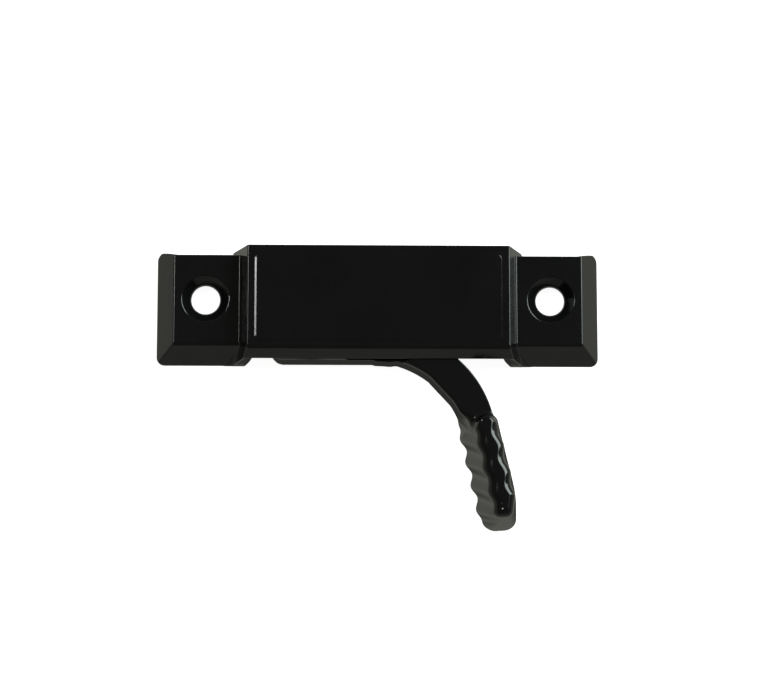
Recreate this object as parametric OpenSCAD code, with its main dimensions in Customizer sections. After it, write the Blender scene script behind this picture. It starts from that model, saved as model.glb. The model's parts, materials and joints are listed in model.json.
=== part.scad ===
// Cam-type window sash lock with a finger-grip lever, in millimetres.
// Origin: midpoint of the two screw holes on the mounting plane, which is also the lever's pivot.
// +X runs along the housing, +Y points to the keeper side, +Z points away from the window.

/* [Housing] */
// Length of the housing at the mounting plane
body_len = 77.6; // [76:0.2:80]
// Distance from the screw line to the lever-side edge
front_y = 11.35; // [11:0.05:12]
// Distance from the screw line to the keeper-side edge
rear_y = 8.9; // [8.6:0.05:9.4]
// Height of the raised middle block
body_h = 8.3; // [8.2:0.05:9]
// Height of the two lower end blocks
end_h = 4.2; // [3.9:0.05:4.6]
// Clear height under the ceiling of the middle block
cavity_h = 6.3; // [6.3:0.02:6.4]
// Half length of the clear space under the middle block
cavity_half = 21.8; // [21.7:0.05:22]

/* [Screw holes] */
// Distance between the two mounting screw holes
hole_spacing = 60.3; // [58:0.1:62]
// Diameter of a mounting screw hole
hole_d = 5; // [4.4:0.1:5.4]
// Diameter of the countersink at the surface
sink_d = 8.2; // [7.6:0.1:9]

/* [Lever] */
// Lowest face of the lever above the mounting plane
lever_z0 = 0.35; // [0.3:0.05:0.5]
// Upper face of the lever's flat part
lever_z1 = 6.1; // [5.9:0.05:6.15]
// Height of the finger grip's front face
grip_z = 7.6; // [7:0.1:9]
// Outer radius of the cam
cam_r = 21.1; // [20:0.1:21.3]
// Radius of the hub
hub_r = 7.4; // [7.3:0.05:7.5]
// Swing of the lever from open to locked, in degrees
swing = 96; // [90:1:96]

/* [Pivot] */
// Radius of the cast post that the lever turns on
post_r = 3.6; // [3.4:0.05:3.6]
// Radial clearance between the post and its bush
post_gap = 0.05; // [0.03:0.01:0.08]
// Outer radius of the bush
bush_r = 4.6; // [4.5:0.05:4.8]

/* [Hidden] */
$fn = 96;
cut = 20; // overlength of cutting shapes
half_len = body_len / 2;
bevel = 3.18; // plan width of the bevels at the ends
front_bevel = 3.28; // and at the lever side
corner_r = 1.6;
end_rear_y = rear_y - 0.2; // the end blocks stand a little behind the middle block
end_rear_top = 7.87; // their keeper side leans in to here
rear_relief = 0.2; // and is set back between the corner and the middle block
relief_half = half_len - bevel - 0.3;
mid_half_top = 22.7; // half length of the middle block's face
mid_half_base = 25.5; // and of its foot
lip_y = 10.85; // lever-side edge of the ceiling, at cavity_h
face_front_y = 9.03; // lever-side edge of the middle block's face
face_rear_y = 8.84;
pad_half = 21.25; // raised panel on the face
pad_front_y = 7.9;
pad_rear_y = 7.25;
pad_h = 0.08;
pad_r = 1.1;
notch_flare = 1.64; // 45 degree flare at the ends of the lever opening
notch_flare_y = front_y - 1.5;
rear_web_y = 7.2; // inner face of the keeper-side corner webs
rear_open_half = 20.6;
end_wall = 2; // thickness over the hollow end blocks
sink_land = 0.4; // straight wall under the countersink
end_pocket_x0 = 27.3;
end_pocket_x1 = 35.8;
end_pocket_front_y = 8.3;
end_pocket_rear_y = 6.6;

post_z = 1.75; // lower end of the post
screw_r = 1.35; // shank of the retaining screw
screw_top = 6.5;
screw_head_r = 2.9;
screw_head_z = 0.15;
washer_z = 1.15;
washer_r = 5.6;
recess_r = 5.9; // recess under the hub for the washers
recess_z = 2.4;
wave_r0 = 3.9;
wave_r1 = 5.5;
wave_gap = 0.03;
flange_r = 6.3; // flange of the bush, which slides on the ceiling
flange_z0 = 5.8;
flange_z1 = 6.25;

stop_r0 = 10; // cast stop rib that runs in a groove of the lever
stop_r1 = 11.8;
stop_angle = 200;
stop_half = 5;
stop_z = 5.3;
stop_gap = 0.15;
stop_end_gap = 0.6; // degrees left at each end of the travel

flat_r = 6.9; // distance of the two detent flats from the pivot
spring_t = 0.45;
spring_gap = 0.03;
spring_x = flat_r + spring_gap;
spring_z0 = 1.6;
spring_z1 = 5.2;
spring_free_y = -3.4;
spring_leg_y = 6.4;
spring_bend_r = 0.8; // inside radius of the bend between blade and leg
spring_end_x = 19;
ear_x = 11;
ear_y = 2.2;
ear_z0 = 4.8;
ear_z1 = 5.25;
rivet_xs = [13, 17];
rivet_y = 4.2;
rivet_r = 0.9;
rivet_head_r = 1.7;
rivet_head_h = 0.8;
rivet_top = 7.2;

arm_in_c = [-1.4, -27.5]; // centre and radius of the arm's hollow edge
arm_in_r = 16.8;
arm_out_c = [1.43, -25.04]; // and of its round edge
arm_out_r = 19.2;
plate_y = -11.15; // straight front edge of the cam plate
plate_x = -17.3;
plate_corner = [-19.1, -9.73];
arm_end_y = -21.2; // the flat arm ends inside the grip here

grip_in0 = [14.3, -24]; // first ridge of the finger grooves
grip_dir = -77.4; // direction of the row of ridges
groove_pitch = 4.2;
groove_n = 3;
groove_depth = 0.65;
groove_r = (pow(groove_pitch / 2, 2) + pow(groove_depth, 2)) / (2 * groove_depth);
grip_out0 = [20.7, -20.2]; // outer side of the grip
grip_out1 = [24.15, -33.2];
grip_tip_r = 2.2;
grip_tip_x0 = 19.9;
grip_tip_x1 = 21.85;
grip_tip_y = -38;
grip_start = [-0.3, 2.9]; // the grip's foot begins here, from the first ridge
grip_w = 7.05; // grip width at its foot, for the cross-section
grip_pocket_x = 2.6;
grip_pocket_w = 2;
grip_pocket_len = 11;
grip_pocket_z = 5;

// Extrudes a (y, z) outline along X, centred on X = 0
module along_x(length) {
    rotate([90, 0, 90]) linear_extrude(length, center = true) children();
}

// Extrudes an (x, z) outline along Y, centred on Y = 0
module along_y(length) {
    rotate([90, 0, 0]) linear_extrude(length, center = true) children();
}

// Rectangle with round corners, given by its lowest and highest corner
module round_rect(low, high, r) {
    translate([low[0] + r, low[1]]) square([high[0] - low[0] - 2 * r, high[1] - low[1]]);
    translate([low[0], low[1] + r]) square([high[0] - low[0], high[1] - low[1] - 2 * r]);
    for (x = [low[0] + r, high[0] - r], y = [low[1] + r, high[1] - r])
        translate([x, y]) circle(r);
}

module ring(r0, r1, z0, z1) {
    translate([0, 0, z0]) difference() {
        cylinder(r = r1, h = z1 - z0);
        translate([0, 0, -1]) cylinder(r = r0, h = z1 - z0 + 2);
    }
}

// Part of a ring between two angles
module ring_sector(r0, r1, a0, a1, z0, z1) {
    rotate([0, 0, a0]) rotate_extrude(angle = a1 - a0)
        translate([r0, z0]) square([r1 - r0, z1 - z0]);
}

// Both low end blocks in one piece, with their bevels
module end_blocks() {
    intersection() {
        linear_extrude(end_h)
            round_rect([-half_len, -front_y], [half_len, end_rear_y], corner_r);
        along_y(4 * cut) polygon([
            [-half_len, 0], [bevel - half_len, end_h],
            [half_len - bevel, end_h], [half_len, 0]
        ]);
        along_x(2 * body_len) polygon([
            [-front_y, 0], [front_bevel - front_y, end_h], [end_rear_top, end_h], [end_rear_y, 0]
        ]);
    }
}

// Slice taken off the keeper side of the end blocks, short of their corners
module relief() {
    along_x(2 * relief_half) polygon([
        [end_rear_y - rear_relief, -0.01], [end_rear_top - rear_relief, end_h + 0.01],
        [end_rear_y + 1, end_h + 0.01], [end_rear_y + 1, -0.01]
    ]);
}

module middle_block() {
    intersection() {
        along_y(4 * cut) polygon([
            [-mid_half_base, 0], [-mid_half_top, body_h],
            [mid_half_top, body_h], [mid_half_base, 0]
        ]);
        along_x(body_len) polygon([
            [-front_y, 0], [-lip_y, cavity_h], [-face_front_y, body_h],
            [face_rear_y, body_h], [rear_y, 0]
        ]);
    }
    translate([0, 0, body_h - 0.1]) linear_extrude(pad_h + 0.1)
        round_rect([-pad_half, -pad_front_y], [pad_half, pad_rear_y], pad_r);
}

// Space under the ceiling, open to both long sides
module cavity() {
    translate([-cavity_half, -front_y - 1, -1])
        cube([2 * cavity_half, front_y + 1 + rear_web_y, cavity_h + 1]);
    translate([-rear_open_half, 0, -1]) cube([2 * rear_open_half, rear_y + 1, cavity_h + 1]);
    translate([0, 0, -1]) linear_extrude(cavity_h + 1) polygon([
        [-cavity_half - notch_flare - 1, -front_y - 1], [-cavity_half, -notch_flare_y],
        [cavity_half, -notch_flare_y], [cavity_half + notch_flare + 1, -front_y - 1]
    ]);
}

module end_pocket() {
    translate([0, 0, -1]) linear_extrude(end_h - end_wall + 1)
        round_rect([end_pocket_x0, -end_pocket_front_y], [end_pocket_x1, end_pocket_rear_y], 1);
}

module screw_hole() {
    translate([0, 0, -1]) cylinder(d = hole_d, h = body_h);
    translate([0, 0, end_h - end_wall + sink_land])
        cylinder(d1 = hole_d, d2 = sink_d, h = end_wall - sink_land);
    translate([0, 0, end_h - 0.001]) cylinder(d = sink_d, h = 2);
}

module housing() {
    color([0.05, 0.05, 0.055]) difference() {
        union() {
            difference() {
                union() {
                    difference() {
                        end_blocks();
                        relief();
                    }
                    middle_block();
                }
                cavity();
                for (side = [0, 1]) mirror([side, 0, 0]) {
                    end_pocket();
                    translate([hole_spacing / 2, 0, 0]) screw_hole();
                }
            }
            translate([0, 0, post_z]) cylinder(r = post_r, h = cavity_h - post_z + 0.5);
            ring_sector(stop_r0, stop_r1, stop_angle - stop_half, stop_angle + stop_half,
                stop_z, cavity_h + 0.5);
            translate([ear_x, ear_y, ear_z1])
                cube([spring_end_x - ear_x, rear_web_y - ear_y - 0.6, cavity_h - ear_z1 + 0.5]);
        }
        translate([0, 0, post_z - 1]) cylinder(r = screw_r, h = screw_top - post_z + 1);
        for (x = rivet_xs) translate([x, rivet_y, ear_z1 - 1])
            cylinder(r = rivet_r, h = rivet_top - ear_z1 + 1);
    }
}

// Hub with the detent flats that face the spring when the lever is open and when it is locked
module hub_outline() {
    difference() {
        circle(hub_r);
        for (a = [0, swing]) rotate(a) translate([flat_r, -hub_r / 2]) square([hub_r, hub_r]);
    }
}

// Cam plate, from the tangent of the hub to the straight front edge
module cam_outline() {
    tangent = 125;
    reach = sqrt(cam_r * cam_r - hub_r * hub_r) + 2;
    start = hub_r * [cos(tangent), sin(tangent)];
    intersection() {
        circle(cam_r);
        polygon([
            start, start + reach * [-sin(tangent), cos(tangent)],
            [-cam_r, plate_corner[1] + 2.8], plate_corner, [plate_x, plate_y],
            [2.4, plate_y], [2.4, -5], [0, 0]
        ]);
    }
}

// Curved flat arm between two arcs
module arm_outline() {
    difference() {
        translate(arm_out_c) circle(arm_out_r);
        translate(arm_in_c) circle(arm_in_r);
        translate([-2 * cut, -3 * cut]) square([2 * cut, 4 * cut]);
        translate([-cut, arm_end_y - 3 * cut]) square([3 * cut, 3 * cut]);
    }
}

module grip_outline() {
    along = [cos(grip_dir), sin(grip_dir)];
    out = [sin(grip_dir), -cos(grip_dir)];
    difference() {
        union() {
            polygon([
                grip_in0, grip_in0 + grip_start, grip_out0, grip_out1,
                [grip_out1[0], grip_tip_y], [grip_tip_x0, grip_tip_y],
                grip_in0 + (groove_n * groove_pitch + 0.8) * along
            ]);
            for (x = [grip_tip_x0, grip_tip_x1]) translate([x, grip_tip_y]) circle(grip_tip_r);
            translate([grip_tip_x0, grip_tip_y - grip_tip_r])
                square([grip_tip_x1 - grip_tip_x0, grip_tip_r]);
        }
        for (i = [0 : groove_n - 1])
            translate(grip_in0 + (i + 0.5) * groove_pitch * along + (groove_r - groove_depth) * out)
                circle(groove_r);
    }
}

// Height of the grip across and along its length
module grip_envelope() {
    translate([grip_in0[0], grip_in0[1], 0]) rotate([0, 0, grip_dir + 90]) intersection() {
        along_y(3 * cut) polygon([
            [-0.1, lever_z0], [1.9, grip_z - 1], [2.9, grip_z], [grip_w - 1.5, grip_z],
            [grip_w - 0.7, grip_z - 0.8], [grip_w + 0.7, lever_z0]
        ]);
        along_x(3 * cut) polygon([
            [6, lever_z0], [4.6, lever_z1 - 0.5], [2.4, lever_z1], [2, grip_z - 0.3],
            [1.6, grip_z], [-14.4, grip_z], [-15.2, grip_z - 0.8], [-17.6, lever_z0]
        ]);
    }
}

module grip() {
    intersection() {
        translate([0, 0, lever_z0]) linear_extrude(grip_z - lever_z0) grip_outline();
        grip_envelope();
    }
}

// Hollow behind the grip, as the casting has it
module grip_pocket() {
    translate([grip_in0[0], grip_in0[1], -1]) rotate([0, 0, grip_dir + 90])
        translate([grip_pocket_x, -grip_pocket_len - 1, 0]) linear_extrude(grip_pocket_z + 1)
            round_rect([0, 0], [grip_pocket_w, grip_pocket_len], 0.9);
}

// Hollow under the cam plate, between the hub and the rim
module cam_pocket() {
    translate([0, 0, -1]) linear_extrude(4.6) intersection() {
        difference() {
            circle(cam_r - 1.8);
            circle(hub_r + 1.2);
        }
        polygon([
            [0.5, plate_y + 1.7], [plate_x + 0.6, plate_y + 1.7], [-cam_r, -6.6],
            [-cam_r, -5.2], [-7, 1.6], [0, 0]
        ]);
    }
}

module lever() {
    color([0.05, 0.05, 0.055]) difference() {
        union() {
            translate([0, 0, lever_z0]) linear_extrude(lever_z1 - lever_z0) {
                hub_outline();
                cam_outline();
                arm_outline();
            }
            grip();
        }
        translate([0, 0, -1]) cylinder(r = bush_r, h = lever_z1 + 2);
        translate([0, 0, -1]) cylinder(r = recess_r, h = recess_z + 1);
        translate([0, 0, flange_z0]) cylinder(r = flange_r, h = 1);
        ring_sector(stop_r0 - 0.25, stop_r1 + 0.25, stop_angle - stop_half - stop_end_gap,
            stop_angle + swing + stop_half + stop_end_gap, stop_z - stop_gap, lever_z1 + 1);
        cam_pocket();
        grip_pocket();
    }
}

module pivot_bush() {
    color([0.86, 0.85, 0.8]) {
        ring(post_r + post_gap, bush_r, recess_z, flange_z1);
        ring(bush_r - 0.1, flange_r, flange_z0, flange_z1);
    }
}

module wave_washer() {
    color("silver") ring(wave_r0, wave_r1, post_z + wave_gap, recess_z - wave_gap);
}

module retaining_washer() {
    color("silver") ring(screw_r, washer_r, washer_z, post_z);
}

module retaining_screw() {
    color("lightgray") difference() {
        union() {
            translate([0, 0, screw_head_z]) cylinder(r = screw_head_r, h = washer_z - screw_head_z);
            translate([0, 0, screw_head_z]) cylinder(r = screw_r, h = screw_top - screw_head_z);
        }
        for (a = [0, 90]) rotate([0, 0, a])
            translate([-1.5, -0.3, screw_head_z - 1]) cube([3, 0.6, 1.6]);
    }
}

module detent_spring() {
    bend_c = [spring_x + spring_t + spring_bend_r, spring_leg_y - spring_bend_r];
    color("silver") {
        translate([0, 0, spring_z0]) linear_extrude(spring_z1 - spring_z0) {
            translate([spring_x, spring_free_y])
                square([spring_t, bend_c[1] - spring_free_y]);
            intersection() {
                difference() {
                    translate(bend_c) circle(spring_bend_r + spring_t);
                    translate(bend_c) circle(spring_bend_r);
                }
                translate([spring_x - 1, bend_c[1]]) square([bend_c[0] - spring_x + 1, 3]);
            }
            translate([bend_c[0], spring_leg_y]) square([spring_end_x - bend_c[0], spring_t]);
        }
        difference() {
            translate([ear_x, ear_y, ear_z0])
                cube([spring_end_x - ear_x, spring_leg_y + spring_t - ear_y, ear_z1 - ear_z0]);
            for (x = rivet_xs) translate([x, rivet_y, ear_z0 - 1]) cylinder(r = rivet_r, h = 3);
        }
    }
}

module spring_rivets() {
    color("lightgray") for (x = rivet_xs) translate([x, rivet_y, 0]) {
        translate([0, 0, ear_z0 - rivet_head_h]) cylinder(r = rivet_head_r, h = rivet_head_h);
        translate([0, 0, ear_z0 - 0.1]) cylinder(r = rivet_r, h = rivet_top - ear_z0 + 0.1);
    }
}

housing();
lever();
pivot_bush();
wave_washer();
retaining_washer();
retaining_screw();
detent_spring();
spring_rivets();
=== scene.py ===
"""Looks for the window sash lock, in metres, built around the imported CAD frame.

Each piece is a distance field: a function of (x, y, z) in millimetres that is negative inside the
piece. mesh_of() turns the field into a mesh whose points lie on its surface and whose normals are
the field's own, so every cast edge has its real fillet. Where a field's wall slopes, a factor just
under 1 brings its steepness back to about 1, which keeps the fillets round.
"""

import json
import math

import bpy
import numpy as np
from mathutils import Matrix, Vector


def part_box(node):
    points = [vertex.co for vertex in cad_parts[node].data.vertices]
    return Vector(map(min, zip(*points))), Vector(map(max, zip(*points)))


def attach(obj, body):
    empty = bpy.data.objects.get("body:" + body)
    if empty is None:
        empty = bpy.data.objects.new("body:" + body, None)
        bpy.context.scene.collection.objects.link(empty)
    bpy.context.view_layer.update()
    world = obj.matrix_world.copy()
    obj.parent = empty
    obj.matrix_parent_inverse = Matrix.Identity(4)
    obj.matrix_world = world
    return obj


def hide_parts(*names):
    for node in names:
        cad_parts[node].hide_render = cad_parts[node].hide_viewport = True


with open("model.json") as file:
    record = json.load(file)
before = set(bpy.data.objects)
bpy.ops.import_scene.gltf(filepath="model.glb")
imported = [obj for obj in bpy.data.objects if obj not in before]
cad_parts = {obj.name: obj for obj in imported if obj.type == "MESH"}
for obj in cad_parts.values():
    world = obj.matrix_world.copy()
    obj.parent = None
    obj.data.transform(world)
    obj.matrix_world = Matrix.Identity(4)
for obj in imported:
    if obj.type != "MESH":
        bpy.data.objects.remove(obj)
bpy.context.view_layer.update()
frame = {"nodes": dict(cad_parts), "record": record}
MM = 0.001
PIVOT = (0, 0)


def in_mm(node):
    """A CAD node's lowest and highest corner, in millimetres."""
    low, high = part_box(node)
    return [c / MM for c in low], [c / MM for c in high]


CAD_MM = {name: in_mm(name) for name in frame["nodes"]}


# ---------------------------------------------------------------- distance fields

SECTOR_CORNER_R = 0.3


def round_max(r, *parts):
    """Intersection of the parts, with its edges rounded to radius r."""
    worst = parts[0]
    over = np.maximum(parts[0] + r, 0) ** 2
    for part in parts[1:]:
        worst = np.maximum(worst, part)
        over = over + np.maximum(part + r, 0) ** 2
    return np.minimum(worst, -r) + np.sqrt(over)


def round_min(r, *parts):
    """Union of the parts, with a fillet of radius r where they meet."""
    return -round_max(r, *[-part for part in parts])


def cut(r, body, tool):
    """body without tool, with the new edges rounded to radius r."""
    return round_max(r, body, -tool)


def side_of(p, q, u, v):
    """Distance from the line through p and q in the (u, v) plane, negative on its left."""
    du, dv = q[0] - p[0], q[1] - p[1]
    return ((u - p[0]) * dv - (v - p[1]) * du) / math.hypot(du, dv)


def slab(low, high, u):
    """Everything between two parallel planes."""
    return np.maximum(low - u, u - high)


def disc(centre, r, x, y):
    """Round bar along Z."""
    return np.hypot(x - centre[0], y - centre[1]) - r


def sector(angle, half, r0, r1, x, y):
    """Part of a ring about the origin, half degrees to each side of an angle in degrees."""
    a = math.radians(angle)
    along, across = x * math.cos(a) + y * math.sin(a), y * math.cos(a) - x * math.sin(a)
    h = math.radians(half)
    wedge = np.abs(across) * math.cos(h) - along * math.sin(h)
    return round_max(SECTOR_CORNER_R, slab(r0, r1, np.hypot(x, y)), wedge)


# ---------------------------------------------------------------- meshing

CORNERS = [(i, j, k) for i in (0, 1) for j in (0, 1) for k in (0, 1)]
CELL_EDGES = [
    (a, b) for a in CORNERS for b in CORNERS if a < b and sum(map(abs, np.subtract(a, b))) == 1
]
NEWTON_STEPS = 5


def ticks(low, high, coarse, fine, spots=()):
    """Grid lines from low to high: fine near each spot, growing to coarse away from them."""
    out = [low]
    while out[-1] < high:
        away = min([abs(out[-1] - s) for s in spots] or [0])
        out.append(out[-1] + min(coarse, fine + 0.3 * max(0, away - 2 * fine)))
    return np.array(out)


def mirrored(half):
    """Grid lines from -high to high, out of those from 0 to high."""
    return np.concatenate([-half[:0:-1], half])


def gradient(field, p):
    """Slope of the field along X, Y and Z at each point."""
    h = 1e-4
    g = np.empty_like(p)
    for axis in range(3):
        step = np.zeros(3)
        step[axis] = h
        g[:, axis] = (field(*(p + step).T) - field(*(p - step).T)) / (2 * h)
    return g


def surface_points(grid, axes, cells):
    """Mean of the surface crossings on the edges of each cell."""
    total, count = np.zeros((len(cells[0]), 3)), np.zeros(len(cells[0]))
    for a, b in CELL_EDGES:
        fa, fb = (grid[tuple(c + o for c, o in zip(cells, corner))] for corner in (a, b))
        crossed = (fa < 0) != (fb < 0)
        t = np.where(crossed, fa / np.where(crossed, fa - fb, 1), 0)
        pa, pb = (
            np.stack([axis[c + o] for axis, c, o in zip(axes, cells, corner)], 1)
            for corner in (a, b)
        )
        total += (pa + t[:, None] * (pb - pa)) * crossed[:, None]
        count += crossed
    return total / count[:, None]


def surface_quads(inside, index):
    """One quad of cells round each grid edge that crosses the surface, wound to face outwards."""
    quads = []
    for axis in range(3):
        u, v = (axis + 1) % 3, (axis + 2) % 3
        trim = [slice(None)] * 3
        trim[u] = trim[v] = slice(1, -1)
        core = inside[tuple(trim)]
        low = np.take(core, range(core.shape[axis] - 1), axis)
        high = np.take(core, range(1, core.shape[axis]), axis)
        at = list(np.nonzero(low != high))
        faces_up = low[tuple(at)]
        ring = []
        for du, dv in ((0, 0), (1, 0), (1, 1), (0, 1)):
            cell = [c.copy() for c in at]
            cell[u] += du
            cell[v] += dv
            ring.append(index[tuple(cell)])
        ring = np.stack(ring, 1)
        ring[~faces_up] = ring[~faces_up][:, ::-1]
        quads.append(ring)
    return np.concatenate(quads)


def mesh_of(name, field, xs, ys, zs, body, node, slot, material):
    """Makes the piece whose distance field this is, and lets it stand for a CAD node.

    One point goes in each grid cell that the surface crosses, at the mean of its crossings, and
    then moves along the field's gradient until it is on the surface, by at most half a cell a step.
    """
    grid = np.array(np.broadcast_to(
        field(xs[:, None, None], ys[None, :, None], zs[None, None, :]), (len(xs), len(ys), len(zs))
    ))
    inside = grid < 0
    count = sum(
        inside[i:len(xs) - 1 + i, j:len(ys) - 1 + j, k:len(zs) - 1 + k].astype(int)
        for i, j, k in CORNERS
    )
    active = (count > 0) & (count < 8)
    cells = np.nonzero(active)
    index = np.full(active.shape, -1)
    index[cells] = np.arange(len(cells[0]))
    points = surface_points(grid, (xs, ys, zs), cells)
    reach = 0.5 * min(np.diff(xs).min(), np.diff(ys).min(), np.diff(zs).min())
    for _ in range(NEWTON_STEPS):
        g = gradient(field, points)
        move = field(*points.T)[:, None] * g / np.maximum((g * g).sum(1), 1e-6)[:, None]
        size = np.linalg.norm(move, axis=1, keepdims=True)
        points = points - move * np.minimum(1, reach / np.maximum(size, 1e-9))
    g = gradient(field, points)
    normals = g / np.linalg.norm(g, axis=1, keepdims=True)

    data = bpy.data.meshes.new(name)
    data.from_pydata((points * MM).tolist(), [], surface_quads(inside, index).tolist())
    data.polygons.foreach_set("use_smooth", [True] * len(data.polygons))
    data.normals_split_custom_set_from_vertices(normals.tolist())
    data.materials.append(material)
    piece = bpy.data.objects.new(name, data)
    bpy.context.collection.objects.link(piece)
    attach(piece, body)
    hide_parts(node)


# ---------------------------------------------------------------- materials

class Nodes:
    """A material's node tree, with a short way to add and join nodes."""

    def __init__(self, name):
        self.material = bpy.data.materials.new(name)
        self.material.use_nodes = True
        self.tree = self.material.node_tree
        self.tree.nodes.clear()
        self.shader = self.add("ShaderNodeBsdfPrincipled")
        self.join(self.shader, "BSDF", self.add("ShaderNodeOutputMaterial"), "Surface")
        self.coords = self.add("ShaderNodeTexCoord")

    def add(self, kind):
        return self.tree.nodes.new(kind)

    def join(self, a, out, b, into):
        self.tree.links.new(a.outputs[out], b.inputs[into])

    def noise(self, scale, detail, stretch=(1, 1, 1)):
        """Noise in object space; scale is in features per metre, times stretch on each axis."""
        place = self.add("ShaderNodeMapping")
        place.inputs["Scale"].default_value = stretch
        self.join(self.coords, "Object", place, "Vector")
        node = self.add("ShaderNodeTexNoise")
        node.inputs["Scale"].default_value = scale
        node.inputs["Detail"].default_value = detail
        self.join(place, "Vector", node, "Vector")
        return node

    def ramp(self, noise, stops, into=None):
        """Colours by noise, joined to one of the shader's sockets if one is named."""
        node = self.add("ShaderNodeValToRGB")
        for element, (at, colour) in zip(node.color_ramp.elements, stops):
            element.position = at
            element.color = (*colour, 1)
        self.join(noise, "Fac", node, "Fac")
        if into is not None:
            self.join(node, "Color", self.shader, into)
        return node

    def gloss(self, noise, low, high):
        """Roughness that varies with noise, each end a (noise, roughness) pair."""
        self.ramp(noise, [(at, (rough,) * 3) for at, rough in (low, high)], "Roughness")

    def bump(self, noise, strength, distance, after=None):
        node = self.add("ShaderNodeBump")
        node.inputs["Strength"].default_value = strength
        node.inputs["Distance"].default_value = distance
        self.join(noise, "Fac", node, "Height")
        if after is not None:
            self.join(after, "Normal", node, "Normal")
        return node


def gloss_black_paint():
    """Baked gloss enamel on a casting: near black, with faint orange peel and uneven gloss."""
    n = Nodes("gloss_black_paint")
    tones = [(0.35, (0.0036, 0.0036, 0.0038)), (0.7, (0.0056, 0.0057, 0.0059))]
    n.ramp(n.noise(90, 5), tones, "Base Color")
    n.gloss(n.noise(260, 6), (0.3, 0.10), (0.75, 0.17))
    n.shader.inputs["IOR"].default_value = 1.5
    peel = n.bump(n.noise(900, 2), 0.05, 0.00012)
    grain = n.bump(n.noise(5200, 2), 0.03, 0.00003, after=peel)
    n.join(grain, "Normal", n.shader, "Normal")
    return n.material


def acetal():
    """Natural moulded acetal: off-white, waxy, a little translucent."""
    n = Nodes("acetal")
    tones = [(0.3, (0.70, 0.68, 0.60)), (0.7, (0.78, 0.76, 0.69))]
    n.ramp(n.noise(400, 4), tones, "Base Color")
    n.gloss(n.noise(900, 3), (0.3, 0.33), (0.7, 0.48))
    n.shader.inputs["Subsurface Weight"].default_value = 0.15
    n.shader.inputs["Subsurface Radius"].default_value = (0.0008, 0.0007, 0.0005)
    n.join(n.bump(n.noise(3000, 2), 0.06, 0.00004), "Normal", n.shader, "Normal")
    return n.material


def bare_metal(name, dark, light, rough, stretch):
    """Metal with rolled marks or plating grain; stretch squeezes the noise across the marks."""
    n = Nodes(name)
    marks = n.noise(900, 6, stretch)
    n.ramp(marks, [(0.3, dark), (0.7, light)], "Base Color")
    n.gloss(n.noise(700, 5, stretch), (0.3, rough), (0.7, rough + 0.14))
    n.shader.inputs["Metallic"].default_value = 1.0
    n.join(n.bump(marks, 0.12, 0.00003), "Normal", n.shader, "Normal")
    return n.material


def floor_material():
    """White light table: matt, and lit from below enough to wash out most of the shadows."""
    n = Nodes("pale_floor")
    tone = n.ramp(n.noise(6, 4), [(0.3, (0.80,) * 3), (0.7, (0.82,) * 3)], "Base Color")
    n.join(tone, "Color", n.shader, "Emission Color")
    n.shader.inputs["Emission Strength"].default_value = 1.15
    n.shader.inputs["Roughness"].default_value = 0.9
    n.shader.inputs["Specular IOR Level"].default_value = 0.1
    return n.material


PAINT = gloss_black_paint()
ACETAL = acetal()
ROLLED = (1, 1, 9)  # marks run along X and Y
SPRING_STEEL = bare_metal("spring_steel", (0.40, 0.41, 0.43), (0.56, 0.57, 0.59), 0.22, ROLLED)
ZINC_PLATE = bare_metal("zinc_plate", (0.50, 0.52, 0.57), (0.66, 0.68, 0.72), 0.26, (1, 1, 1))


# ---------------------------------------------------------------- housing

housing_low, housing_high = CAD_MM["housing"]
HALF = housing_high[0]
FRONT = -housing_low[1]  # lever-side edge, as a distance in front of the screw line
REAR = housing_high[1]  # keeper-side edge
BODY_H = 8.3
PAD_H = housing_high[2] - BODY_H

END_H = 4.2
END_CORNER_R = 1.6
BEVEL = 3.18  # width of the bevel at each end
BEVEL_FRONT = 8.07  # where the end blocks' face meets the front bevel
FOOT = 0.1  # height of the upright edge at the foot
END_REAR = REAR - 0.2
END_REAR_TOP = 7.87
RELIEF = 0.2  # the end blocks' keeper side is set back by this
RELIEF_HALF = HALF - 1.9  # from here inwards,
RELIEF_FADE = 1.6  # over this length

FACE_FRONT = 9.03
FACE_REAR = 8.84
LIP_FRONT = 10.85  # edge of the lip over the lever, at the height of the ceiling
MID_TOP = 22.7  # half length of the middle block's face
MID_FOOT = 25.5  # and of its foot
MID_BLEND = 0.2  # fillet where the middle block meets the end blocks
NOTCH_BLEND = 1.6  # more of it, low down at the front
NOTCH_TOP = 3  # below this height
NOTCH_REAR = 8  # and in front of this line,
NOTCH_FADE = 1.5  # growing over this length
PAD_HALF = 21.25
PAD_FRONT = 7.9
PAD_REAR = 7.25
PAD_CORNER_R = 0.9
PAD_SLOPE = 0.5  # width of the low step round the pad

CAVITY_H = 6.3
CAVITY_HALF = 21.8
CAVITY_REAR = 7.2
WINDOW_HALF = 20.6  # half length of the keeper-side opening
FLARE_AT = ((CAVITY_HALF + 2.74, -12.59), (CAVITY_HALF, -9.85))  # end of the lever-side opening
FLARE_REAR = 9
POCKET_H = 2.0  # hollows under the end blocks
POCKET_X = (27.3, 35.8)
POCKET_Y = (-8.3, 6.6)
HOLE_X = frame["record"]["mounts"][0]["dims"]["spacing_x_mm"] / 2
HOLE_R = frame["record"]["mounts"][0]["dims"]["hole_r_mm"]
SINK_R = 4.1
SINK_LAND_Z = 2.6  # lower end of the countersink

POST_R = 3.6
POST_Z = CAD_MM["retaining_washer"][1][2]
RIB = (200, 5, 10, 11.8)  # stop rib: angle, half angle, radii
RIB_Z = 5.3
SEAT_X = (11, 19)  # pad that the spring is riveted to
SEAT_Y = (2.2, 6.6)
SEAT_Z = 5.25
ROOTED = 1  # how deep the post, rib and seat reach into the roof


def screw_hole(ax, y, z):
    r = np.hypot(ax - HOLE_X, y)
    sink = side_of((HOLE_R, SINK_LAND_Z), (SINK_R, END_H), r, z)
    return round_min(0.25, r - HOLE_R, np.maximum(sink, r - SINK_R - 0.2))


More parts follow.
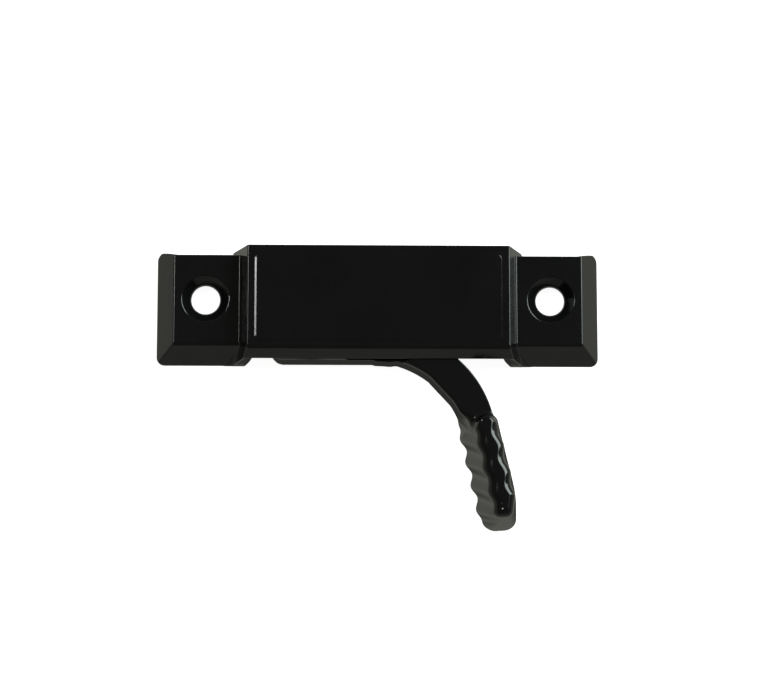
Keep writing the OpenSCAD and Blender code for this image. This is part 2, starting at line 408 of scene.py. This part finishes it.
def end_blocks(ax, y, z):
    plan = round_max(END_CORNER_R, ax - HALF, -y - FRONT, y - END_REAR)
    end_bevel = side_of((HALF, FOOT), (HALF - BEVEL, END_H), ax, z)
    front_bevel = side_of((-BEVEL_FRONT, END_H), (-FRONT, FOOT), y, z)
    set_back = RELIEF * np.clip((RELIEF_HALF - ax) / RELIEF_FADE, 0, 1)
    rear_wall = side_of((END_REAR, 0), (END_REAR_TOP, END_H), y, z) + set_back
    block = round_max(0.3, round_max(0.12, z - END_H, end_bevel, rear_wall), front_bevel)
    return round_max(0.15, block, plan)


def middle_block(ax, y, z):
    ramp = side_of((MID_FOOT, 0), (MID_TOP, BODY_H), ax, z)
    chin = side_of((-FACE_FRONT, BODY_H), (-LIP_FRONT, CAVITY_H), y, z)
    front = side_of((-LIP_FRONT, CAVITY_H), (-FRONT, 0), y, z)
    rear = side_of((REAR, 0), (FACE_REAR, BODY_H), y, z)
    off_pad = round_max(PAD_CORNER_R, ax - PAD_HALF, -y - PAD_FRONT, y - PAD_REAR)
    step = np.clip(0.5 - off_pad / PAD_SLOPE, 0, 1)
    top = BODY_H + PAD_H * step ** 2 * (3 - 2 * step)
    block = round_max(0.2, z - top, ramp, rear)
    return round_max(0.15, round_max(0.3, block, chin), front)


def cavity(ax, y, z):
    """Hollow under the middle block, with its openings on the lever side and the keeper side."""
    bay = round_max(0.6, ax - CAVITY_HALF, y - CAVITY_REAR)
    window = round_max(0.6, ax - WINDOW_HALF, -y)
    flare = round_max(0.3, side_of(*FLARE_AT, ax, y), y + FLARE_REAR)
    return round_max(0.4, z - CAVITY_H, np.minimum(round_min(0.8, bay, flare), window))


def end_pocket(ax, y, z):
    return round_max(0.8, z - POCKET_H, slab(*POCKET_X, ax), slab(*POCKET_Y, y))


def housing_field(x, y, z):
    ax = np.abs(x)
    low_front = np.clip(1 - z / NOTCH_TOP, 0, 1) * np.clip((-NOTCH_REAR - y) / NOTCH_FADE, 0, 1)
    blend = MID_BLEND + NOTCH_BLEND * low_front
    body = round_min(blend, end_blocks(ax, y, z), middle_block(ax, y, z))
    body = round_max(0.05, body, -z, -y - FRONT)
    body = cut(0.15, body, cavity(ax, y, z))
    body = cut(0.25, body, end_pocket(ax, y, z))
    body = cut(0.08, body, screw_hole(ax, y, z))
    into_roof = z - CAVITY_H - ROOTED
    post = round_max(0.2, disc(PIVOT, POST_R, x, y), POST_Z - z, into_roof)
    rib = round_max(0.2, sector(*RIB, x, y), RIB_Z - z, into_roof)
    seat = round_max(0.3, slab(*SEAT_X, x), slab(*SEAT_Y, y), SEAT_Z - z, into_roof)
    body = round_min(0.35, body, rib, seat)
    return round_min(0.08, body, post)


def make_housing():
    """The spots are where the surface turns sharply, so the grid is fine there."""
    spots_x = (PAD_HALF, CAVITY_HALF, 22.6, 24, 25.45, 27.3, 35.6, HALF)
    spots_y = (
        -FRONT, -LIP_FRONT, -FACE_FRONT, -8.3, -BEVEL_FRONT, 6.6, PAD_REAR, END_REAR_TOP, 8.7
    )
    spots_z = (0, 2, END_H, CAVITY_H, BODY_H, BODY_H + PAD_H)
    mesh_of(
        "housing_casting", housing_field,
        mirrored(ticks(0, HALF + 0.4, 0.32, 0.12, spots_x)),
        ticks(-FRONT - 0.4, REAR + 0.4, 0.3, 0.12, spots_y),
        ticks(-0.3, BODY_H + PAD_H + 0.3, 0.25, 0.1, spots_z),
        "base", "housing", "gloss_black_paint", PAINT,
    )


# ---------------------------------------------------------------- lever

lever_low, lever_high = CAD_MM["lever"]
LEVER_Z0 = lever_low[2]
LEVER_Z1 = 6.1  # upper face of the flat part
DRAFT = 0.05  # how much the flat part's walls lean in, per millimetre of height
GRID = 0.177

HUB_R = 7.4
DETENT_FLAT = 6.9  # distance of the hub's two flats from the pivot
DETENT_TURNS = (0, 96)
BUSH_R = 4.6
FLANGE_R = 6.3
FLANGE_Z = 5.8
WASHER_R = 5.9  # recess for the washers
WASHER_Z = 2.4
STOP_GROOVE = (248, 53.6, 9.75, 12.05)  # angle, half angle, radii
STOP_GROOVE_Z = 5.15

CAM_R = 21.1
CAM_RIGHT = 2.4
CAM_BACK = math.radians(125)  # direction that the cam's straight back edge faces
PLATE_Y = -11.15  # straight front edge of the cam plate
PLATE_CORNER = ((-19.1, -9.73), (-17.3, PLATE_Y))
CAM_POCKET_H = 3.6
CAM_RIM = 1.8
CAM_FRONT_RIM = 1.7
CAM_HUB_RIM = 1.2
CAM_POCKET_BACK = ((-20, 9.6), (-7, 1.6))

ARM_IN = ((-1.4, -27.5), 16.8)  # centre and radius of the arm's hollow edge
ARM_OUT = ((1.43, -25.04), 19.2)  # and of its round edge
ARM_END = -23.5
ARM_FLAT = math.radians(43)  # direction of the short flat on the hollow edge
ARM_FLAT_DEPTH = 0.24

GRIP_AT = (14.4, -23.8)  # first ridge of the finger side
GRIP_TURN = math.radians(-77.4)  # direction of the row of ridges
GRIP_Y = lever_low[1]
GRIP_Z = lever_high[2]
GRIP_W = 7.1
GRIP_EDGE_X = 24.12  # the grip's right side stops short at this line
GRIP_MID = 4.2  # line along which its front face is highest
GRIP_CROWN = 0.02
TIP_X = 20.5
PITCH = 4.2
GROOVE_DEPTH = 0.72  # at the foot of the finger side
GROOVE_LOSS = 0.37  # how much of it is lost at the top
FINGER_LEAN = 2.8  # how far the finger side leans in over the grip's height
BACK_LEAN = 0.65  # and the other side
TIP_LEAN = 2.4  # and the tip
BACK_WAVE = 0.6  # waves of the other side's top edge
BACK_WAVE_RATE = 0.894  # waves there for each groove of the finger side
DIMPLE = (21.08, -36.07)  # ring-shaped ejector mark on the grip
DIMPLE_R = 0.5
DIMPLE_W = 0.2
DIMPLE_DEPTH = 0.033
ARM_STEP = 3.1  # the flat part is cut back to the finger side, this far before the first ridge
POCKET_ALONG = (1, 12)  # core pocket in the grip
POCKET_ACROSS = (2.6, 4.6)
GRIP_POCKET_H = 5


def towards(angle, x, y):
    """Distance from the origin in one direction."""
    return x * math.cos(angle) + y * math.sin(angle)


def lever_plan(x, y):
    """Outline of the flat part: hub, cam and arm."""
    hub = disc(PIVOT, HUB_R, x, y)
    for turn in DETENT_TURNS:
        hub = round_max(0.2, hub, towards(math.radians(turn), x, y) - DETENT_FLAT)
    behind_pivot = x * math.sin(CAM_BACK) - y * math.cos(CAM_BACK)
    cam = round_max(
        0.5, PLATE_Y - y, towards(CAM_BACK, x, y) - HUB_R, disc(PIVOT, CAM_R, x, y),
        side_of(*PLATE_CORNER, x, y), x - CAM_RIGHT, behind_pivot,
    )
    (in_x, in_y), in_r = ARM_IN
    arm_flat = towards(ARM_FLAT, x - in_x, y - in_y) - in_r + ARM_FLAT_DEPTH
    inner = np.maximum(disc(*ARM_IN, x, y), arm_flat)
    arm = np.maximum(disc(*ARM_OUT, x, y), -inner)
    arm = np.maximum(np.maximum(arm, -x), ARM_END - y)
    return round_min(1.2, np.minimum(hub, cam), arm)


def finger_wave(along, last):
    """0 on the grip's ridges and 1 in its grooves, fading out at both ends of the row."""
    turns = along / PITCH
    fade = 1 / (1 + np.exp(-8 * (turns + 0.6))) / (1 + np.exp(9 * (turns - last)))
    return 0.5 * (1 - np.cos(2 * np.pi * turns)) * fade


def grip_sides(along, across, rise):
    """The finger side, with grooves that lean to the tip, and the other side, wavy at its top."""
    wave = finger_wave(along - 0.4 - 2.5 * rise, 3.5)
    left = GROOVE_DEPTH * wave - 0.22 + rise * (FINGER_LEAN - GROOVE_LOSS * wave) - across
    wave = finger_wave(BACK_WAVE_RATE * along + 1.25, 3)
    right = across - GRIP_W - 0.02 * along + rise * (BACK_LEAN + BACK_WAVE * wave)
    return left * 0.92, right * 0.97


def grip_field(x, y, z, along, across, rise, left, right):
    """The grip, from its round start on the arm to its sloping tip."""
    edge = x - GRIP_EDGE_X + rise * (0.6 + 0.15 * (-33.5 - y))
    end = (GRIP_Y - y + 0.06 * (x - TIP_X) + TIP_LEAN * rise) * 0.94
    start = (((across - 4.4) / 1.5) ** 2 * np.clip(rise, 0, 1) - 2.3 - along) * 0.8
    mark = np.exp(-(disc(DIMPLE, DIMPLE_R, x, y) / DIMPLE_W) ** 2)
    top = z - GRIP_Z + GRIP_CROWN * (across - GRIP_MID) ** 2 + DIMPLE_DEPTH * mark
    corner_r = np.clip(2.4 - 0.17 * (x - TIP_X), 1.75, 2.9) * (1 - 0.6 * np.clip(rise, 0, 1))
    side = round_max(corner_r, left, round_max(0.5, right, edge), end)
    return round_max(0.6, round_max(1.3, side, top), start)


def flat_field(x, y, z, along, left):
    """The flat part, with a top edge that is softer the further it is from the arm's round edge."""
    lean = DRAFT * (z - LEVER_Z0)
    soft = np.clip(np.abs(disc(*ARM_OUT, x, y)) / 3, 0.12, 0.7)
    flat = round_max(soft, lever_plan(x, y) + lean, z - LEVER_Z1)
    scooped = round_min(1.5, left, (along + ARM_STEP) * 0.9)
    return round_max(0.9, flat, scooped)


def cam_pocket(x, y, z):
    ring = slab(HUB_R + CAM_HUB_RIM, CAM_R - CAM_RIM, np.hypot(x, y))
    back = side_of(*CAM_POCKET_BACK, x, y)
    return round_max(0.8, ring, PLATE_Y + CAM_FRONT_RIM - y, x - 0.5, -back, z - CAM_POCKET_H)


def lever_field(x, y, z):
    """Along and across are the grip's own axes; rise is 0 at the lever's foot and 1 at its top."""
    c, s = math.cos(GRIP_TURN), math.sin(GRIP_TURN)
    dx, dy = x - GRIP_AT[0], y - GRIP_AT[1]
    along, across = dx * c + dy * s, dy * c - dx * s
    rise = (z - LEVER_Z0) / (GRIP_Z - LEVER_Z0)
    left, right = grip_sides(along, across, rise)
    grip = grip_field(x, y, z, along, across, rise, left, right)
    flat = flat_field(x, y, z, along, left)
    body = round_max(0.2, round_min(1.0, flat, grip), LEVER_Z0 - z)

    body = cut(0.2, body, disc(PIVOT, BUSH_R, x, y))
    body = cut(0.2, body, round_max(0.3, disc(PIVOT, WASHER_R, x, y), z - WASHER_Z))
    body = cut(0.1, body, np.maximum(disc(PIVOT, FLANGE_R, x, y), FLANGE_Z - z))
    groove = np.maximum(sector(*STOP_GROOVE, x, y), STOP_GROOVE_Z - z)
    body = cut(0.15, body, groove)
    pocket = round_max(
        0.7, slab(*POCKET_ALONG, along), slab(*POCKET_ACROSS, across), z - GRIP_POCKET_H
    )
    body = cut(0.2, body, pocket)
    return cut(0.2, body, cam_pocket(x, y, z))


def make_lever():
    mesh_of(
        "lever_casting", lever_field,
        ticks(-21.6, lever_high[0] + 0.5, GRID, GRID), ticks(lever_low[1] - 0.4, 8.2, GRID, GRID),
        ticks(0.0, GRIP_Z + 0.4, 0.18, 0.12, (LEVER_Z0, LEVER_Z1, GRIP_Z)),
        "lever", "lever", "gloss_black_paint", PAINT,
    )


# ---------------------------------------------------------------- pivot and detent

BUSH_BORE = 3.65
BUSH_LEAD = 0.3  # chamfer at the lower end of its bore
WAVE_R0 = 3.9
WAVE_COUNT = 3
WAVE_RISE = 0.15
WAVE_HALF_T = 0.12
WASHER_BORE = 1.38

HEAD_TOP = POST_Z - 0.6
HEAD_CROWN = 0.05
THREAD_R = 1.22
THREAD_RISE = 0.13
THREAD_PITCH = 0.7
RECESS_R = 1.55
RECESS_DEPTH = 0.75
RECESS_HALF_W = 0.34

STRIP_HALF_T = 0.225
STRIP_TOP = 5.2
STRIP_BEND_R = 1.025  # of the bend between blade and leg, at mid thickness
CURL_FROM = -1.6  # the blade's free end curls away from the hub beyond this y
EAR_LEFT = 11
EAR_FRONT = 2.2

RIVET_XS = (13, 17)
RIVET_Y = 4.2
RIVET_HOLE_R = 0.9
RIVET_HEAD_R = 1.7
RIVET_HEAD_H = 0.8
RIVET_SHANK_R = 0.87
RIVET_KNURLS = 8


def grid_round(node, step):
    """Grid lines that cover a CAD node's box."""
    return [ticks(a - 3 * step, b + 3 * step, step, step) for a, b in zip(*CAD_MM[node])]


def bush_field(x, y, z):
    low, high = CAD_MM["pivot_bush"]
    r = np.hypot(x, y)
    outside = round_min(0.12, r - BUSH_R, round_max(0.1, r - high[0], FLANGE_Z - z))
    bush = round_max(0.1, outside, BUSH_BORE - r, slab(low[2], high[2], z))
    lead_in = side_of((BUSH_BORE, low[2] + BUSH_LEAD), (BUSH_BORE + BUSH_LEAD, low[2]), r, z)
    return np.maximum(bush, lead_in)


def wave_washer_field(x, y, z):
    low, high = CAD_MM["wave_washer"]
    middle = (low[2] + high[2]) / 2
    wave = WAVE_RISE * np.cos(WAVE_COUNT * np.arctan2(y, x))
    strip = (np.abs(z - middle - wave) - WAVE_HALF_T) * 0.97
    return round_max(0.05, slab(WAVE_R0, high[0], np.hypot(x, y)), strip)


def retaining_washer_field(x, y, z):
    """Blanked washer: rolled over on the die side, sharper on the other."""
    low, high = CAD_MM["retaining_washer"]
    ring = slab(WASHER_BORE, high[0], np.hypot(x, y))
    return round_max(0.05, round_max(0.16, ring, low[2] - z), z - high[2])


def retaining_screw_field(x, y, z):
    """Pan-head screw, head down, with a cross recess that tapers as it goes in."""
    low, high = CAD_MM["retaining_screw"]
    r, turn = np.hypot(x, y), np.arctan2(y, x)
    head = round_max(0.1, round_max(0.5, r - high[0], low[2] - z), z - HEAD_TOP)
    crown = low[2] + HEAD_CROWN * (r - 1.6) ** 2 - z
    head = np.maximum(head, crown * 0.95)
    helix = np.cos(2 * np.pi * z / THREAD_PITCH - turn)
    thread = 0.6 * (r - THREAD_R - THREAD_RISE * helix)
    shank = round_max(0.2, thread, z - high[2], HEAD_TOP - 0.3 - z)
    depth = z - low[2] - RECESS_DEPTH + 0.35 * r
    wings = np.minimum(np.abs(x), np.abs(y)) - RECESS_HALF_W + 0.12 * (z - low[2])
    recess = round_max(0.08, wings, r - RECESS_R + 0.5 * (z - low[2]), depth)
    return cut(0.06, round_min(0.1, head, shank), recess)


def detent_spring_field(x, y, z):
    """Strip bent twice: the blade on the hub turns into the leg, and the leg folds into the ear."""
    low, high = CAD_MM["detent_spring"]
    half = STRIP_HALF_T
    blade_x, leg_y, ear_z = low[0] + half, high[1] - half, high[2] - half
    curl = 0.05 * np.maximum(CURL_FROM - y, 0) ** 2
    bend = round_max(STRIP_BEND_R, (blade_x + curl - x) * 0.98, y - leg_y)
    width = round_max(0.6, slab(low[2], STRIP_TOP, z), low[1] - y)
    strip = round_max(0.06, np.abs(bend) - half, width, x - high[0])
    fold = round_max(0.5, y - leg_y, z - ear_z)
    ear_plan = round_max(0.7, slab(EAR_LEFT, high[0], x), EAR_FRONT - y)
    ear = round_max(0.06, np.abs(fold) - half, ear_plan, low[2] - z)
    spring = np.minimum(strip, ear)
    for at in RIVET_XS:
        hole = np.maximum(disc((at, RIVET_Y), RIVET_HOLE_R, x, y), 4 - z)
        spring = cut(0.05, spring, hole)
    return spring


def spring_rivets_field(x, y, z):
    """Drive rivets, domed heads down, with slightly helical knurls on the shanks."""
    low, high = CAD_MM["spring_rivets"]
    seat_z = low[2] + RIVET_HEAD_H
    dome_r = (RIVET_HEAD_R ** 2 + RIVET_HEAD_H ** 2) / (2 * RIVET_HEAD_H)
    rivets = []
    for at in RIVET_XS:
        r, turn = np.hypot(x - at, y - RIVET_Y), np.arctan2(y - RIVET_Y, x - at)
        head = round_max(0.1, np.hypot(r, z - low[2] - dome_r) - dome_r, z - seat_z)
        knurled = r - RIVET_SHANK_R - 0.03 * np.cos(RIVET_KNURLS * turn + z)
        shank = round_max(0.15, knurled, z - high[2], seat_z - 0.2 - z)
        rivets.append(round_min(0.05, head, shank))
    return np.minimum(*rivets)


def make_small_parts():
    """Name, field, grid step in millimetres, body, node, slot and material of each."""
    parts = [
        ("bush_moulding", bush_field, 0.13, "lever", "pivot_bush", "acetal", ACETAL),
        ("wave_spring", wave_washer_field, 0.08, "base", "wave_washer",
            "spring_steel", SPRING_STEEL),
        ("washer_blank", retaining_washer_field, 0.1, "base", "retaining_washer",
            "zinc_plated_steel", ZINC_PLATE),
        ("pan_screw", retaining_screw_field, 0.08, "base", "retaining_screw",
            "zinc_plated_steel", ZINC_PLATE),
        ("detent_strip", detent_spring_field, 0.11, "base", "detent_spring",
            "spring_steel", SPRING_STEEL),
        ("drive_rivets", spring_rivets_field, 0.1, "base", "spring_rivets",
            "zinc_plated_steel", ZINC_PLATE),
    ]
    for name, field, step, body, node, slot, material in parts:
        mesh_of(name, field, *grid_round(node, step), body, node, slot, material)


make_housing()
make_lever()
make_small_parts()


# ---------------------------------------------------------------- stage, light and camera

LIGHT_DISTANCE = 1.2
SKY = [  # height of a direction, -1 to 1, and the radiance that comes from it
    (-1, 0.03), (-0.9, 0.15), (-0.72, 0.68), (-0.5, 0.67), (-0.34, 0.47), (-0.08, 0.28),
    (0, 0.38), (0.1, 0.3), (0.3, 0.12), (0.5, 0.085), (0.85, 0.076),
]
SKY_TINT = (1, 1.03, 0.9)
CAMERA_AT = (-8.126, -61.155, 377.864)
CAMERA_TILT = math.radians(7.951)
CAMERA_YAW = math.radians(1.477)


def box_light(name, azimuth, elevation, size, radiance, colour):
    """Square soft light aimed at the object, azimuth 0 being +X and 90 +Y, in degrees."""
    a, e = math.radians(azimuth), math.radians(elevation)
    away = Vector((math.cos(a) * math.cos(e), math.sin(a) * math.cos(e), math.sin(e)))
    data = bpy.data.lights.new(name, "AREA")
    data.shape = "SQUARE"
    data.size = size
    data.color = colour
    data.energy = radiance * math.pi * size ** 2
    lamp = bpy.data.objects.new(name, data)
    lamp.location = away * LIGHT_DISTANCE
    lamp.rotation_euler = away.to_track_quat("Z", "Y").to_euler()
    bpy.context.collection.objects.link(lamp)


def make_floor():
    bpy.ops.mesh.primitive_plane_add(size=6, location=(0, 0, 0))
    floor = bpy.context.object
    floor.name = "floor"
    floor.data.materials.append(floor_material())
    floor.visible_glossy = False  # the paint reflects the world's lower half instead


def make_world():
    """Light by height: dark overhead, brighter to the horizon, brightest well below it.

    The lower half stands in for the lit table in the paint's reflections, and the dark spot
    straight down for the object's own shade on it.
    """
    world = bpy.data.worlds.new("studio")
    world.use_nodes = True
    bpy.context.scene.world = world
    tree = world.node_tree
    coords = tree.nodes.new("ShaderNodeTexCoord")
    split = tree.nodes.new("ShaderNodeSeparateXYZ")
    span = tree.nodes.new("ShaderNodeMapRange")
    span.inputs["From Min"].default_value = -1
    ramp = tree.nodes.new("ShaderNodeValToRGB")
    while len(ramp.color_ramp.elements) < len(SKY):
        ramp.color_ramp.elements.new(0.5)
    for element, (height, radiance) in zip(ramp.color_ramp.elements, SKY):
        element.position = (height + 1) / 2
        element.color = (*[part * radiance for part in SKY_TINT], 1)
    tree.links.new(coords.outputs["Generated"], split.inputs["Vector"])
    tree.links.new(split.outputs["Z"], span.inputs["Value"])
    tree.links.new(span.outputs["Result"], ramp.inputs["Fac"])
    tree.links.new(ramp.outputs["Color"], tree.nodes["Background"].inputs["Color"])


def make_camera():
    """Long lens, nearly straight above the face, at the distance that fits the perspective."""
    data = bpy.data.cameras.new("camera")
    data.lens, data.sensor_width = 101.0, 36.0
    data.clip_start, data.clip_end = 0.02, 10
    camera = bpy.data.objects.new("camera", data)
    turn = Matrix.Rotation(-CAMERA_TILT, 3, "X") @ Matrix.Rotation(CAMERA_YAW, 3, "Y")
    place = Matrix.Translation(Vector(CAMERA_AT) * MM)
    camera.matrix_world = place @ turn.transposed().to_4x4()
    bpy.context.collection.objects.link(camera)
    bpy.context.scene.camera = camera


make_floor()
make_world()
box_light("left_key", 153, 62, 0.2, 16, (1, 1, 1))
box_light("right_box", 30, 36, 0.8, 7.5, (0.88, 1, 0.95))
make_camera()
bpy.context.scene.view_settings.view_transform = "Standard"
